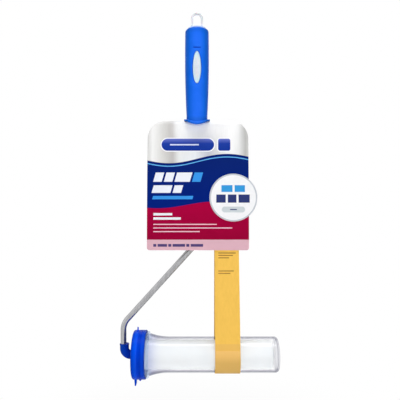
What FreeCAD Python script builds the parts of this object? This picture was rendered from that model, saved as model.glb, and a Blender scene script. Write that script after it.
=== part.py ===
"""A mini paint roller in its storage tube, hung up on its header card.

The origin is the centre of the hanging eye at the handle's top. +Z is up, +X runs along
the roller towards the tube's closed end, and -Y is the front of the card.
Lengths are millimetres. Every driving size is a cell of the sheet "dim".
"""
import FreeCAD, Part
import math
import os

import Sketcher
from FreeCAD import Vector

SIZES = [
    # hanging eye, core and grip of the handle
    ("eye_radius", 4.5, "inner radius of the hanging eye"),
    ("eye_wall", 2.6, "width of the eye's strip"),
    ("eye_depth", 4.0, "depth of the eye's strip, front to back"),
    ("eye_round", 0.9, "rounded edge of the eye"),
    ("grip_top", -14.3, "height of the grip's top face"),
    ("collar_radius", 11.1, "radius of the core's collar"),
    ("collar_height", 1.8, "height of the collar above the grip"),
    ("collar_round", 0.6, "rounded edge of the collar"),
    ("core_radius", 8.5, "radius of the core inside the grip"),
    ("core_end", -113.0, "height of the core's lower end"),
    ("overmould_gap", 0.1, "gap between the core and what is moulded over it"),
    ("grip_shoulder", 14.05, "radius of the grip at its top"),
    ("grip_belly", 14.3, "radius of the grip at its thickest"),
    ("belly_height", -50.0, "height of the thickest place"),
    ("grip_waist", 12.55, "radius of the grip above its flange"),
    ("waist_height", -117.0, "height of the waist"),
    ("grip_round", 3.0, "rounded top edge of the grip"),
    ("flange_radius", 15.5, "radius of the finger flange"),
    ("flange_plate", 1.7, "thickness of the finger flange"),
    ("flange_side", -123.0, "height of the flange's underside at its sides"),
    ("flange_dip", 6.5, "how much lower the flange is at its front and back"),
    ("window_width", 10.2, "width of the oval window in the grip"),
    ("window_length", 38.3, "length of the oval window"),
    ("window_height", -62.3, "height of the window's middle"),
    ("window_gap", 0.5, "groove around the core's pad in the window"),
    ("pad_recess", 0.5, "how far the pad lies below the grip's surface"),
    ("slit_width", 8.8, "width of the slit above the window"),
    ("slit_height", -39.1, "height of the slit's middle"),
    ("slit_gap", 1.1, "opening of the slit"),
    ("slit_depth", 3.6, "depth of the slit"),
    # frame rod and its elbow boot
    ("rod_radius", 3.5, "radius of the steel rod"),
    ("rod_top", -62.0, "height of the rod's end inside the core"),
    ("socket_gap", 0.1, "gap between the rod and the socket it is pressed in"),
    ("upper_corner", -269.0, "height where the rod's upper bend would have its corner"),
    ("upper_bend", 25.0, "centreline radius of the upper bend"),
    ("rod_lean", 42.3, "lean of the slanting stretch from the vertical, in degrees"),
    ("lower_bend", 19.0, "centreline radius of the lower bend"),
    ("rod_side", -88.2, "distance of the lower stretch from the handle's axis"),
    ("elbow_bend", 11.5, "centreline radius of the bend into the roller's axis"),
    ("roller_axis", -403.0, "height of the roller's axis"),
    ("rod_inset", 29.4, "distance of the rod's free end from the sleeve's outer end"),
    ("rod_chamfer", 0.6, "chamfer on the rod's free end"),
    ("boot_radius", 5.3, "outer radius of the elbow boot"),
    ("boot_shift", 1.2, "how far the boot is thicker on the inside of the bend"),
    ("boot_bend", 7.5, "centreline radius of the boot's bend"),
    ("boot_lead", 1.4, "height of the boot above the start of the rod's bend"),
    ("boot_ring", 0.3, "how far the boot's top ring stands proud"),
    ("boot_ring_width", 1.4, "width of the boot's top ring"),
    ("boot_flare", 7.0, "radius of the boot where it meets the lid"),
    ("boot_flare_length", 5.5, "length of the flare"),
    # lid of the storage tube
    ("lid_left", -76.2, "outer face of the lid"),
    ("lid_right", -60.4, "rim of the lid"),
    ("lid_radius", 28.3, "outer radius of the lid"),
    ("lid_wall", 2.4, "wall of the lid"),
    ("lid_floor", 2.6, "thickness of the lid's floor"),
    ("lid_round", 2.2, "rounded outer edge of the lid"),
    ("lid_lip", 0.8, "rounded edge at the lid's rim"),
    ("groove_left", -69.6, "middle of the left groove round the lid"),
    ("groove_right", -65.5, "middle of the right groove round the lid"),
    ("groove_width", 0.9, "width of the lid's grooves"),
    ("groove_depth", 0.7, "depth of the lid's grooves"),
    ("tab_place", -73.4, "middle of the long finger tab"),
    ("tab_root", 3.0, "thickness of the finger tab at its root"),
    ("tab_tip", 1.7, "thickness of the finger tab at its tip"),
    ("tab_length", 8.3, "how far the finger tab stands out of the lid"),
    ("tab_width", 7.0, "width of the finger tab, front to back"),
    ("nub_place", -67.8, "middle of the short nub"),
    ("nub_radius", 1.5, "radius of the short nub's end"),
    ("nub_length", 2.6, "how far the nub stands out of the lid"),
    ("nub_width", 5.0, "width of the nub, front to back"),
    ("nib_place", -70.7, "middle of the moulding nib on top"),
    ("nib_radius", 1.0, "radius of the nib at its root"),
    ("nib_tip", 0.8, "radius of the nib at its tip"),
    ("nib_length", 4.5, "how far the nib stands out of the lid"),
    ("seal_width", 2.0, "width of the lid's seal, from its bore to its edge"),
    ("seal_thickness", 1.2, "thickness of the lid's seal"),
    # storage tube
    ("tube_radius", 20.6, "outer radius of the tube"),
    ("tube_wall", 0.8, "wall of the tube"),
    ("tube_reach", 7.6, "how far the tube's closed end lies past the sleeve"),
    ("tube_floor", 1.5, "thickness of the closed end"),
    ("tube_round", 4.0, "rounded edge of the closed end"),
    ("bell_start", -34.0, "place where the tube starts to flare"),
    ("bell_drop", 4.1, "how much smaller the flare is than the lid, beside the bead"),
    ("bell_end", -55.6, "place where the flare ends beside the bead"),
    ("bead_drop", 1.15, "how much smaller the bead is than the lid"),
    ("bead_width", 2.8, "width of the bead"),
    ("bead_round", 1.1, "rounded edge of the bead"),
    ("body_gap", 0.3, "gap between pieces that move against each other"),
    # spindle and its bearings
    ("running_gap", 0.05, "radial gap of a running fit"),
    ("fit_gap", 0.05, "radial gap of a press fit"),
    ("washer_thickness", 1.0, "thickness of the thrust washers"),
    ("washer_inner_radius", 6.6, "outer radius of the washer against the lid"),
    ("bush_radius", 5.0, "outer radius of the bushes"),
    ("bush_length", 14.0, "length of the bushes"),
    ("outer_bush_inset", 49.4, "distance of the outer bush's start from the sleeve's outer end"),
    ("spindle_radius", 5.9, "outer radius of the spindle's barrel"),
    ("spindle_relief", 4.2, "bore of the spindle between its bushes"),
    ("spindle_flange", 9.0, "radius of the spindle's flange"),
    ("flange_thickness", 1.6, "thickness of the spindle's flange"),
    ("spindle_inset", 1.4, "distance of the spindle's end from the sleeve's outer end"),
    ("partition_inset", 26.4, "distance of the spring's partition from the sleeve's outer end"),
    ("partition_thickness", 2.0, "thickness of that partition"),
    ("clip_radius", 4.7, "outer radius of the retaining clip"),
    ("clip_thickness", 0.9, "thickness of the retaining clip"),
    ("clip_seat", 2.8, "radius of the rod in the clip's groove"),
    ("clip_mouth", 3.0, "opening of the retaining clip"),
    # roller sleeve
    ("sleeve_length", 160.0, "length of the sleeve"),
    ("foam_radius", 17.05, "radius of the foam cover"),
    ("foam_round", 1.6, "rounded edge of the foam"),
    ("core_tube_radius", 8.0, "outer radius of the sleeve's core"),
    ("core_tube_wall", 0.8, "wall of the sleeve's core"),
    ("hub_flange", 1.5, "thickness of the end hubs' flanges"),
    ("inner_hub_length", 12.0, "length of the inner end hub"),
    ("outer_hub_length", 15.0, "length of the outer end hub"),
    ("hub_slack", 0.1, "radial gap between the hubs and the spindle"),
    # push-button release
    ("button_radius", 4.7, "radius of the button's guides"),
    ("button_inset", 14.1, "distance of the button's inner end from the sleeve's outer end"),
    ("button_reach", 2.4, "how far the button stands out of the sleeve"),
    ("button_round", 1.0, "rounded edge of the button"),
    ("button_bore", 5.0, "bore of the spindle round the button"),
    ("button_stroke", 2.0, "travel of the button"),
    ("cone_large", 4.3, "radius of the button's cone at its thick end"),
    ("cone_fall", 0.5, "fall of the cone's radius for each millimetre along it"),
    ("dog_inset", 7.4, "distance of the lock dogs' middle from the sleeve's outer end"),
    ("dog_length", 3.0, "size of a dog along the roller"),
    ("dog_width", 4.0, "size of a dog across the roller"),
    ("dog_reach", 6.5, "radius that the dogs reach at rest"),
    ("spring_radius", 4.0, "mean radius of the button's spring"),
    ("spring_wire", 0.35, "radius of the spring's wire"),
    ("spring_turns", 5.0, "turns of the spring"),
    # header card, its round sticker and its strap
    ("card_left", -58.3, "left edge of the card"),
    ("card_width", 119.0, "width of the card"),
    ("card_thickness", 0.7, "thickness of the card"),
    ("card_bottom", -276.3, "lower edge of the card"),
    ("card_depth", 16.0, "distance of the front's lower edge from the rod"),
    ("ridge_top", -123.4, "top of the card's fold"),
    ("ridge_radius", 5.5, "outer radius of the card's fold"),
    ("shoulder_radius", 21.5, "radius of the card's upper corners"),
    ("card_corner", 3.0, "radius of the card's lower corners"),
    ("card_hole_gap", 0.4, "gap between the rod and the hole in the fold"),
    ("disc_overhang", 9.9, "how far the round sticker reaches past the card's right edge"),
    ("disc_height", -214.9, "height of the round sticker's middle"),
    ("disc_radius", 28.0, "radius of the round sticker"),
    ("disc_thickness", 0.5, "thickness of the round sticker"),
    ("glue_gap", 0.05, "gap between the card and the sticker on it"),
    ("strap_edge", 9.9, "distance of the strap from the card's right edge"),
    ("strap_width", 29.7, "width of the strap under the tube"),
    ("strap_taper", 2.0, "how much narrower the strap is at its top"),
    ("strap_thickness", 0.35, "thickness of the strap"),
    ("strap_start", -262.0, "height of the strap's ends inside the card"),
    ("strap_inset", 0.15, "distance of the strap's ends from the card's inner face"),
    ("lap_height", -392.2, "height of the front edge of the strap's lap"),
    ("lap_angle", 50.0, "how far the lap goes past the bottom, in degrees"),
]

# ---------------------------------------------------------------- places that follow from the sizes
LID_FLOOR = "(dim.lid_left + dim.lid_floor)"
LID_BORE = "(dim.lid_radius - dim.lid_wall)"
SPINDLE_LEFT = f"({LID_FLOOR} + dim.washer_thickness + dim.body_gap)"
SLEEVE_LEFT = f"({SPINDLE_LEFT} + dim.flange_thickness + dim.hub_slack)"
SLEEVE_RIGHT = f"({SLEEVE_LEFT} + dim.sleeve_length)"
ROD_END = f"({SLEEVE_RIGHT} - dim.rod_inset)"
TUBE_RIGHT = f"({SLEEVE_RIGHT} + dim.tube_reach)"
BELL_RADIUS = "(dim.lid_radius - dim.bell_drop)"
BEAD_RADIUS = "(dim.lid_radius - dim.bead_drop)"
OUTER_BUSH = f"({SLEEVE_RIGHT} - dim.outer_bush_inset)"
SPINDLE_RIGHT = f"({SLEEVE_RIGHT} - dim.spindle_inset)"
PARTITION = f"({SLEEVE_RIGHT} - dim.partition_inset)"
BUTTON_LEFT = f"({SLEEVE_RIGHT} - dim.button_inset)"
BUTTON_RIGHT = f"({SLEEVE_RIGHT} + dim.button_reach)"
DOG_PLACE = f"({SLEEVE_RIGHT} - dim.dog_inset)"
CARD_RIGHT = "(dim.card_left + dim.card_width)"
DISC_ACROSS = f"({CARD_RIGHT} + dim.disc_overhang - dim.disc_radius)"
STRAP_LEFT = f"({CARD_RIGHT} - dim.strap_edge - dim.strap_width)"


doc = FreeCAD.newDocument("paint_roller")
dim = doc.addObject("Spreadsheet::Sheet", "dim")
for row, (alias, size, meaning) in enumerate(SIZES, start=1):
    dim.set(f"A{row}", alias)
    dim.set(f"B{row}", str(size))
    dim.setAlias(f"B{row}", alias)
    dim.set(f"C{row}", meaning)
doc.recompute()

nodes = []


def number(text):
    """The value of an expression on the sheet's sizes."""
    result = dim.evalExpression(text)
    return float(getattr(result, "Value", result))


def new_body(name, on_roller=False):
    """An empty body for one piece. A piece on the roller has its own origin on the roller's axis."""
    body = doc.addObject("PartDesign::Body", name)
    body.Label = name
    if on_roller:
        body.setExpression("Placement.Base.z", "dim.roller_axis")
    nodes.append(body)
    return body


def plane(body, role):
    return next(item for item in body.Origin.OriginFeatures if item.Role == role)


def bind(sketch, kind, places, text):
    """Adds a constraint whose value is an expression."""
    index = sketch.addConstraint(Sketcher.Constraint(kind, *places, number(text)))
    sketch.setExpression(f"Constraints[{index}]", text)


def blank_sketch(body, name, role):
    sketch = body.newObject("Sketcher::SketchObject", name)
    sketch.AttachmentSupport = [(plane(body, role), "")]
    sketch.MapMode = "FlatFace"
    return sketch


def arc_between(start, end, radius, turns_left):
    """The shorter arc from start to end, as the counter-clockwise arc that a sketch keeps."""
    chord = end - start
    to_left = Vector(-chord.y, chord.x, 0).normalize()
    rise = math.sqrt(max(radius**2 - (chord.Length / 2) ** 2, 0))
    centre = (start + end) / 2 + to_left * (rise if turns_left else -rise)
    first, last = (start, end) if turns_left else (end, start)
    angles = [math.atan2(p.y - centre.y, p.x - centre.x) for p in (first, last)]
    return Part.ArcOfCircle(Part.Circle(centre, Vector(0, 0, 1), radius), *angles)


def outline(body, name, role, corners):
    """A closed sketch through corners given as expressions: (across, up) is reached by a line,
    and (across, up, radius, "left" or "right") by an arc that turns that way."""
    sketch = blank_sketch(body, name, role)
    add_outline(sketch, corners)
    return sketch


def open_path(body, name, corners):
    """An open chain on the front plane, with corners as in an outline."""
    sketch = blank_sketch(body, name, "XZ_Plane")
    add_outline(sketch, corners, closed=False)
    sketch.Visibility = False
    return sketch


def add_outline(sketch, corners, closed=True):
    places = [Vector(number(corner[0]), number(corner[1]), 0) for corner in corners]
    first_corner = 0 if closed else 1
    pieces = []
    for index, corner in enumerate(corners[first_corner:], start=first_corner):
        start, end = places[index - 1], places[index]
        if len(corner) == 2:
            geometry = sketch.addGeometry(Part.LineSegment(start, end), False)
            pieces.append((geometry, 1, 2))
            continue
        turns_left = corner[3] == "left"
        arc = arc_between(start, end, number(corner[2]), turns_left)
        geometry = sketch.addGeometry(arc, False)
        pieces.append((geometry, 1, 2) if turns_left else (geometry, 2, 1))
    if not closed:
        bind_corner(sketch, pieces[0][0], pieces[0][1], corners[0])
    for index, (geometry, first, last) in enumerate(pieces):
        if closed or index > 0:
            before, _, before_last = pieces[index - 1]
            joined = Sketcher.Constraint("Coincident", before, before_last, geometry, first)
            sketch.addConstraint(joined)
        corner = corners[index + first_corner]
        bind_corner(sketch, geometry, last, corner)
        if len(corner) > 2:
            bind(sketch, "Radius", (geometry,), corner[2])


def bind_corner(sketch, geometry, end, corner):
    bind(sketch, "DistanceX", (-1, 1, geometry, end), corner[0])
    bind(sketch, "DistanceY", (-1, 1, geometry, end), corner[1])


def circle(body, name, role, across, up, radius):
    sketch = blank_sketch(body, name, role)
    add_circle(sketch, across, up, radius)
    return sketch


def add_circle(sketch, across, up, radius):
    centre = Vector(number(across), number(up), 0)
    ring = sketch.addGeometry(Part.Circle(centre, Vector(0, 0, 1), number(radius)), False)
    bind_corner(sketch, ring, 3, (across, up))
    bind(sketch, "Radius", (ring,), radius)


def rectangle(left, bottom, right, top):
    return [(left, bottom), (right, bottom), (right, top), (left, top)]


def revolve(body, name, sketch, axis, kind="PartDesign::Revolution"):
    """Turns a sketch round its own H_Axis or V_Axis."""
    feature = body.newObject(kind, name)
    feature.Profile = sketch
    feature.ReferenceAxis = (sketch, [axis])
    feature.Angle = 360
    sketch.Visibility = False
    return feature


def pad(body, name, sketch, length, both_ways=True):
    feature = body.newObject("PartDesign::Pad", name)
    feature.Profile = sketch
    feature.SideType = "Symmetric" if both_ways else "One side"
    feature.setExpression("Length", length)
    return feature


def pipe(body, name, profile, path, kind="PartDesign::AdditivePipe"):
    """Sweeps a profile along a path."""
    feature = body.newObject(kind, name)
    feature.Profile = profile
    feature.Spine = path
    profile.Visibility = False
    return feature


def pocket_through(body, name, sketch):
    """Cuts a sketch right through, both ways."""
    feature = body.newObject("PartDesign::Pocket", name)
    feature.Profile = sketch
    feature.Type = "ThroughAll"
    feature.SideType = "Symmetric"
    return feature


def turned_on_roller(name, corners):
    """A piece turned round the roller's axis: corners are (along, radius)."""
    body = new_body(name, on_roller=True)
    sketch = outline(body, f"{name}_profile", "XZ_Plane", corners)
    revolve(body, f"{name}_turned", sketch, "H_Axis")
    return body


def ring_on_roller(name, left, right, bore, radius):
    return turned_on_roller(name, rectangle(left, bore, right, radius))


def bow(drop, run):
    """The radius of an arc that leaves level and falls by drop over run."""
    return f"((({drop})^2 + ({run})^2) / (2 * ({drop})))"


def ellipse(body, name, half_width, half_length, height):
    """An upright ellipse on the front plane, round the handle's axis."""
    sketch = blank_sketch(body, name, "XZ_Plane")
    centre = Vector(0, number(height), 0)
    top = centre + Vector(0, number(half_length), 0)
    side = centre + Vector(number(half_width), 0, 0)
    oval = sketch.addGeometry(Part.Ellipse(top, side, centre), False)
    sketch.exposeInternalGeometry(oval)
    sketch.addConstraint(Sketcher.Constraint("PointOnObject", oval, 3, -2))
    bind(sketch, "DistanceY", (-1, 1, oval, 3), height)
    sketch.addConstraint(Sketcher.Constraint("Vertical", oval + 1))
    bind(sketch, "Distance", (oval + 1,), f"2 * ({half_length})")
    bind(sketch, "Distance", (oval + 2,), f"2 * ({half_width})")
    return sketch


def edges_of(feature, wanted):
    """The names of the feature's edges that a test picks, for a fillet or a chamfer."""
    doc.recompute()
    edges = feature.Shape.Edges
    return [f"Edge{index}" for index, edge in enumerate(edges, start=1) if wanted(edge)]


def fillet(body, name, feature, radius, wanted):
    rounded = body.newObject("PartDesign::Fillet", name)
    rounded.Base = (feature, edges_of(feature, wanted))
    rounded.setExpression("Radius", radius)
    return rounded


def near(one, other):
    return abs(one - other) < 0.01


def is_ring(edge, radius, place, along="z"):
    """True for a full circle of that radius whose middle is at that place along an axis."""
    if not isinstance(edge.Curve, Part.Circle) or not near(edge.Curve.Radius, number(radius)):
        return False
    return near(getattr(edge.Curve.Center, along), number(place))


# ---------------------------------------------------------------- handle
COLLAR_TOP = "(dim.grip_top + dim.collar_height)"
EYE_OUTER = "(dim.eye_radius + dim.eye_wall)"
PAD_FACE = "(dim.grip_belly - dim.pad_recess)"


def make_handle_core():
    """The hard core: a collar with the hanging eye, a stem, and a pad in each oval window."""
    body = new_body("handle_core")
    stem = outline(body, "core_profile", "XZ_Plane", [
        ("0", "dim.core_end"),
        ("dim.core_radius", "dim.core_end"),
        ("dim.core_radius", "dim.grip_top"),
        ("dim.collar_radius", "dim.grip_top"),
        ("dim.collar_radius", COLLAR_TOP),
        ("0", COLLAR_TOP),
    ])
    turned = revolve(body, "core_turned", stem, "V_Axis")
    fillet(body, "collar_rounded", turned, "dim.collar_round",
           lambda edge: is_ring(edge, "dim.collar_radius", COLLAR_TOP))
    eye = outline(body, "eye_profile", "XZ_Plane", [
        (f"-{EYE_OUTER}", COLLAR_TOP),
        (f"-{EYE_OUTER}", "0"),
        ("0", EYE_OUTER, EYE_OUTER, "right"),
        (EYE_OUTER, "0", EYE_OUTER, "right"),
        (EYE_OUTER, COLLAR_TOP),
        ("dim.eye_radius", COLLAR_TOP),
        ("dim.eye_radius", "0"),
        ("0", "dim.eye_radius", "dim.eye_radius", "left"),
        ("-dim.eye_radius", "0", "dim.eye_radius", "left"),
        ("-dim.eye_radius", COLLAR_TOP),
    ])
    strip = pad(body, "eye_strip", eye, "dim.eye_depth")
    fillet(body, "eye_rounded", strip, "dim.eye_round", is_eye_edge)
    oval = ellipse(body, "pad_profile", "dim.window_width / 2 - dim.window_gap",
                   "dim.window_length / 2 - dim.window_gap", "dim.window_height")
    pad(body, "window_pads", oval, "2 * dim.flange_radius")
    top = "dim.window_height + dim.window_length"
    bottom = "dim.window_height - dim.window_length"
    faced = outline(body, "pad_facing", "XZ_Plane",
                    rectangle(PAD_FACE, bottom, "2 * dim.flange_radius", top))
    revolve(body, "pads_faced", faced, "V_Axis", "PartDesign::Groove")
    socket = outline(body, "socket_profile", "XZ_Plane",
                     rectangle("0", "dim.core_end", "dim.rod_radius + dim.socket_gap", "dim.rod_top"))
    revolve(body, "socket", socket, "V_Axis", "PartDesign::Groove")


def is_eye_edge(edge):
    """True for the long edges of the eye's strip, on its front and back faces."""
    box = edge.BoundBox
    flat = near(box.YMin, box.YMax) and near(abs(box.YMin), number("dim.eye_depth / 2"))
    return flat and box.ZMax > number(COLLAR_TOP) + 1


FLANGE_LOW = "(dim.flange_side - dim.flange_dip)"
FLANGE_BOW = bow("dim.flange_dip", "dim.flange_radius")


def make_grip_sleeve():
    """The soft grip, moulded over the core, with a flange that bridges the card's fold."""
    body = new_body("grip_sleeve")
    bore = "dim.core_radius + dim.overmould_gap"
    rod_hole = "dim.rod_radius + dim.socket_gap"
    profile = outline(body, "grip_profile", "XZ_Plane", [
        (rod_hole, FLANGE_LOW),
        ("dim.grip_waist", FLANGE_LOW),
        ("dim.grip_waist", "dim.waist_height"),
        ("dim.grip_belly", "dim.belly_height",
         bow("dim.grip_belly - dim.grip_waist", "dim.belly_height - dim.waist_height"), "left"),
        ("dim.grip_shoulder", "dim.grip_top",
         bow("dim.grip_belly - dim.grip_shoulder", "dim.grip_top - dim.belly_height"), "left"),
        (bore, "dim.grip_top"),
        (bore, "dim.core_end - dim.overmould_gap"),
        (rod_hole, "dim.core_end - dim.overmould_gap"),
    ])
    turned = revolve(body, "grip_turned", profile, "V_Axis")
    fillet(body, "grip_top_rounded", turned, "dim.grip_round",
           lambda edge: is_ring(edge, "dim.grip_shoulder", "dim.grip_top"))
    plate = outline(body, "flange_profile", "YZ_Plane", [
        ("-dim.flange_radius", FLANGE_LOW),
        ("dim.flange_radius", FLANGE_LOW, FLANGE_BOW, "right"),
        ("dim.flange_radius", f"{FLANGE_LOW} + dim.flange_plate"),
        ("-dim.flange_radius", f"{FLANGE_LOW} + dim.flange_plate", FLANGE_BOW, "left"),
    ])
    pad(body, "flange_plate", plate, "2 * dim.flange_radius")
    around = outline(body, "flange_trim", "XZ_Plane",
                     rectangle("dim.flange_radius", f"{FLANGE_LOW} - 1", "2 * dim.flange_radius",
                               "dim.flange_side + 2 * dim.flange_plate"))
    revolve(body, "flange_round", around, "V_Axis", "PartDesign::Groove")
    tunnel = outline(body, "tunnel_profile", "YZ_Plane", [
        ("-dim.flange_radius", f"{FLANGE_LOW} - 1"),
        ("dim.flange_radius", f"{FLANGE_LOW} - 1"),
        ("dim.flange_radius", FLANGE_LOW),
        ("-dim.flange_radius", FLANGE_LOW, FLANGE_BOW, "left"),
    ])
    pocket_through(body, "tunnel", tunnel)
    way = outline(body, "rod_way_profile", "XZ_Plane",
                  rectangle("0", f"{FLANGE_LOW} - 1", rod_hole, "dim.core_end - dim.overmould_gap"))
    revolve(body, "rod_way", way, "V_Axis", "PartDesign::Groove")
    oval = ellipse(body, "window_profile", "dim.window_width / 2", "dim.window_length / 2",
                   "dim.window_height")
    pocket_through(body, "windows", oval)
    slit = outline(body, "slit_profile", "XZ_Plane",
                   rectangle("-dim.slit_width / 2", "dim.slit_height - dim.slit_gap / 2",
                             "dim.slit_width / 2", "dim.slit_height + dim.slit_gap / 2"))
    slit.setExpression("AttachmentOffset.Base.z", "dim.grip_belly - dim.slit_depth")
    cut = body.newObject("PartDesign::Pocket", "slit")
    cut.Profile = slit
    cut.Type = "ThroughAll"
    cut.Reversed = True


# ---------------------------------------------------------------- frame
CLIP_LEFT = (f"({OUTER_BUSH} + dim.bush_length + dim.body_gap"
             " + dim.washer_thickness)")
ROD_BORE = "(dim.rod_radius + dim.running_gap)"
UPPER_CORNER = "(dim.upper_corner - dim.roller_axis)"
LOWER_CORNER = f"({UPPER_CORNER} + dim.rod_side / tan(dim.rod_lean))"
UPPER_SETBACK = "(dim.upper_bend * tan(dim.rod_lean / 2))"
LOWER_SETBACK = "(dim.lower_bend * tan(dim.rod_lean / 2))"


def make_frame_rod():
    """The bent steel rod: handle, slanting stretch, side stretch, and the roller's axle."""
    body = new_body("frame_rod", on_roller=True)
    path = open_path(body, "rod_path", [
        ("0", "dim.rod_top - dim.roller_axis"),
        ("0", f"{UPPER_CORNER} + {UPPER_SETBACK}"),
        (f"-{UPPER_SETBACK} * sin(dim.rod_lean)",
         f"{UPPER_CORNER} - {UPPER_SETBACK} * cos(dim.rod_lean)", "dim.upper_bend", "right"),
        (f"dim.rod_side + {LOWER_SETBACK} * sin(dim.rod_lean)",
         f"{LOWER_CORNER} + {LOWER_SETBACK} * cos(dim.rod_lean)"),
        ("dim.rod_side", f"{LOWER_CORNER} - {LOWER_SETBACK}", "dim.lower_bend", "left"),
        ("dim.rod_side", "dim.elbow_bend"),
        ("dim.rod_side + dim.elbow_bend", "0", "dim.elbow_bend", "left"),
        (ROD_END, "0"),
    ])
    section = circle(body, "rod_section", "XY_Plane", "0", "0", "dim.rod_radius")
    section.setExpression("AttachmentOffset.Base.z", "dim.rod_top - dim.roller_axis")
    bar = pipe(body, "rod_bar", section, path)
    chamfered = body.newObject("PartDesign::Chamfer", "rod_end_chamfer")
    chamfered.Base = (bar, edges_of(bar, lambda edge: is_ring(edge, "dim.rod_radius", ROD_END, "x")))
    chamfered.setExpression("Size", "dim.rod_chamfer")
    seat = outline(body, "clip_seat_profile", "XZ_Plane",
                   rectangle(f"{CLIP_LEFT} - dim.fit_gap", "dim.clip_seat",
                             f"{CLIP_LEFT} + dim.clip_thickness + dim.fit_gap", "2 * dim.rod_radius"))
    revolve(body, "clip_seat", seat, "H_Axis", "PartDesign::Groove")


def elbow_path(body, name, side, bend, over):
    """A way through the elbow boot, going past both of its ends by over."""
    return open_path(body, name, [
        (side, f"dim.elbow_bend + dim.boot_lead + {over}"),
        (side, bend),
        (f"{side} + {bend}", "0", bend, "left"),
        (f"dim.lid_left + {over}", "0"),
    ])


def elbow_section(body, name, side, radius, over):
    section = circle(body, name, "XY_Plane", side, "0", radius)
    section.setExpression("AttachmentOffset.Base.z", f"dim.elbow_bend + dim.boot_lead + {over}")
    return section


def make_elbow_boot():
    """The boot that covers the rod's elbow, with a ring at its top and a flare at the lid."""
    body = new_body("elbow_boot", on_roller=True)
    middle = "(dim.rod_side + dim.boot_shift)"
    path = elbow_path(body, "boot_path", middle, "dim.boot_bend", "0")
    section = elbow_section(body, "boot_section", middle, "dim.boot_radius", "0")
    pipe(body, "boot_tube", section, path)
    ring = elbow_section(body, "ring_section", middle, "dim.boot_radius + dim.boot_ring",
                         "-dim.boot_ring_width")
    pad(body, "boot_top_ring", ring, "dim.boot_ring_width", both_ways=False)
    flare_start = "dim.lid_left - dim.boot_flare_length"
    flare = outline(body, "flare_profile", "XZ_Plane", [
        (flare_start, "0"),
        ("dim.lid_left", "0"),
        ("dim.lid_left", "dim.boot_flare"),
        (flare_start, "dim.rod_radius",
         bow("dim.boot_flare - dim.rod_radius", "dim.boot_flare_length"), "right"),
    ])
    revolve(body, "boot_flare", flare, "H_Axis")
    bore_path = elbow_path(body, "boot_bore_path", "dim.rod_side", "dim.elbow_bend", "1")
    bore = elbow_section(body, "boot_bore_section", "dim.rod_side",
                         "dim.rod_radius + dim.socket_gap", "1")
    pipe(body, "boot_bore", bore, bore_path, "PartDesign::SubtractivePipe")


# ---------------------------------------------------------------- storage tube and its lid
def lid_groove(middle):
    return rectangle(f"{middle} - dim.groove_width / 2", "dim.lid_radius - dim.groove_depth",
                     f"{middle} + dim.groove_width / 2", "dim.lid_radius + 1")


def make_storage_lid():
    """The lid: a cup with two grooves, a finger tab and a nub below, and a nib on top."""
    body = new_body("storage_lid", on_roller=True)
    hole = "dim.rod_radius + dim.socket_gap"
    cup = outline(body, "lid_profile", "XZ_Plane", [
        ("dim.lid_left", hole),
        (LID_FLOOR, hole),
        (LID_FLOOR, LID_BORE),
        ("dim.lid_right", LID_BORE),
        ("dim.lid_right", "dim.lid_radius - dim.lid_lip"),
        ("dim.lid_right - dim.lid_lip", "dim.lid_radius", "dim.lid_lip", "left"),
        ("dim.lid_left + dim.lid_round", "dim.lid_radius"),
        ("dim.lid_left", "dim.lid_radius - dim.lid_round", "dim.lid_round", "left"),
    ])
    revolve(body, "lid_cup", cup, "H_Axis")
    grooves = outline(body, "groove_profile", "XZ_Plane", lid_groove("dim.groove_left"))
    add_outline(grooves, lid_groove("dim.groove_right"))
    revolve(body, "lid_grooves", grooves, "H_Axis", "PartDesign::Groove")
    buried = "-(dim.lid_radius - dim.groove_depth - dim.lid_lip)"
    tab_foot = "-(dim.lid_radius + dim.tab_length - dim.tab_tip / 2)"
    tab = outline(body, "tab_profile", "XZ_Plane", [
        ("dim.tab_place + dim.tab_root / 2", buried),
        ("dim.tab_place - dim.tab_root / 2", buried),
        ("dim.tab_place - dim.tab_tip / 2", tab_foot),
        ("dim.tab_place", f"{tab_foot} - dim.tab_tip / 2", "dim.tab_tip / 2", "left"),
        ("dim.tab_place + dim.tab_tip / 2", tab_foot, "dim.tab_tip / 2", "left"),
    ])
    pad(body, "finger_tab", tab, "dim.tab_width")
    nub_foot = "-(dim.lid_radius + dim.nub_length - dim.nub_radius)"
    nub = outline(body, "nub_profile", "XZ_Plane", [
        ("dim.nub_place + dim.nub_radius", buried),
        ("dim.nub_place - dim.nub_radius", buried),
        ("dim.nub_place - dim.nub_radius", nub_foot),
        ("dim.nub_place", f"{nub_foot} - dim.nub_radius", "dim.nub_radius", "left"),
        ("dim.nub_place + dim.nub_radius", nub_foot, "dim.nub_radius", "left"),
    ])
    pad(body, "lid_nub", nub, "dim.nub_width")
    root = "dim.lid_radius - dim.groove_depth - dim.lid_lip"
    nib = outline(body, "nib_profile", "XZ_Plane", [
        ("dim.nib_place", root),
        ("dim.nib_place + dim.nib_radius", root),
        ("dim.nib_place + dim.nib_tip", "dim.lid_radius + dim.nib_length"),
        ("dim.nib_place", "dim.lid_radius + dim.nib_length"),
    ])
    turned = body.newObject("PartDesign::Revolution", "lid_nib")
    turned.Profile = nib
    turned.ReferenceAxis = (nib, ["Edge1"])


def make_lid_seal():
    """The flat ring on the lid's floor that the tube's rim is pressed against."""
    edge = f"({LID_BORE} - 2 * dim.overmould_gap)"
    ring_on_roller("lid_seal", LID_FLOOR, f"{LID_FLOOR} + dim.seal_thickness",
                   f"{edge} - dim.seal_width", edge)


SPIGOT_RADIUS = f"({LID_BORE} - dim.body_gap)"
BEAD_LEFT = "(dim.lid_right + dim.body_gap)"


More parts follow.
